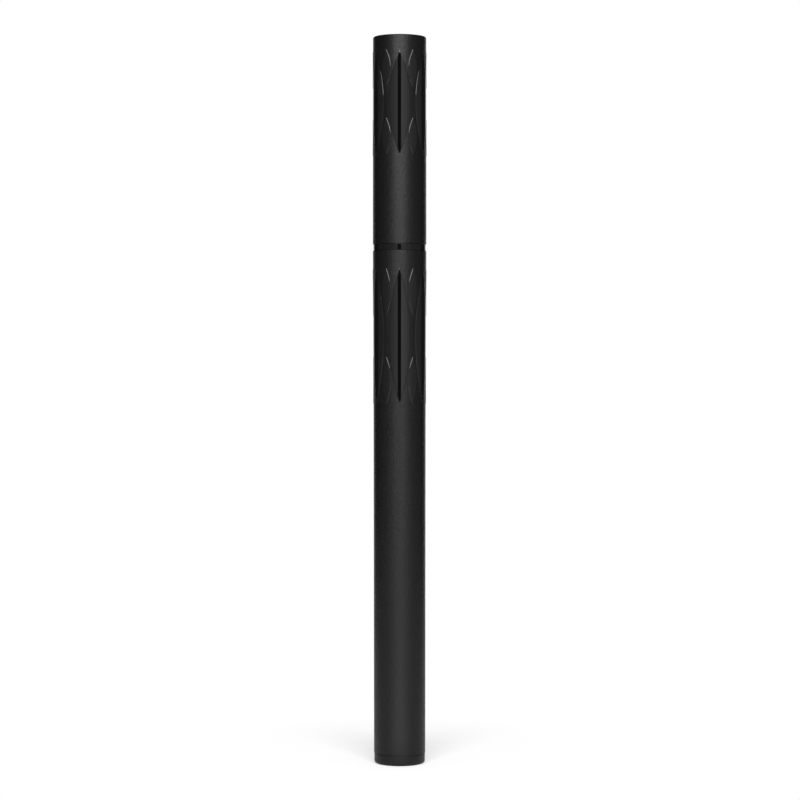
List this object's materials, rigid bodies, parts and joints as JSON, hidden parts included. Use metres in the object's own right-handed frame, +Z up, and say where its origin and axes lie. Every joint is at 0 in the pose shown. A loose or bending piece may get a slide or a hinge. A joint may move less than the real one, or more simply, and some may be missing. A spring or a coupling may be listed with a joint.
{
  "type": "liquid eyeliner pen",
  "caption": "Slim upright felt-tip liquid eyeliner pen: a tapered matte black barrel holding the ink, a finned collector that feeds the nib, a gloss collar and a push-on cap that lifts off.",
  "frame": {"origin": "centre of the flat foot under the tail plug, where the pen stands", "axes": "+Z up the pen's axis to the top of the cap, +X to the right and +Y away from the viewer as the picture shows it"},
  "size_m": [0.01, 0.01, 0.1357],
  "materials": {
    "soft_touch_black": "fine satin grain",
    "gloss_black": "high gloss",
    "moulded_black": "smooth as moulded",
    "natural_resin": "unpigmented, stained by ink",
    "inked_fibre": "pressed fibre, wet with ink",
    "ball_steel": "polished stainless steel"
  },
  "bodies": {
    "pen": {"tail_plug": "soft_touch_black", "barrel": "soft_touch_black", "tank_plug": "natural_resin", "feed_rod": "inked_fibre", "collector": "natural_resin", "front_section": "gloss_black", "nib_holder": "moulded_black", "nib": "inked_fibre"},
    "cap": {"cap_shell": "soft_touch_black", "cap_liner": "moulded_black", "inner_cap": "moulded_black"},
    "ball": {"mixing_ball": "ball_steel"}
  },
  "joints": [
    {"name": "cap_pull", "type": "slide", "parent": "pen", "child": "cap", "axis": [0, 0, 1], "range_m": [0, 0.045]},
    {"name": "ball_travel", "type": "slide", "parent": "pen", "child": "ball", "axis": [0, 0, 1], "range_m": [0, 0.045]}
  ]
}
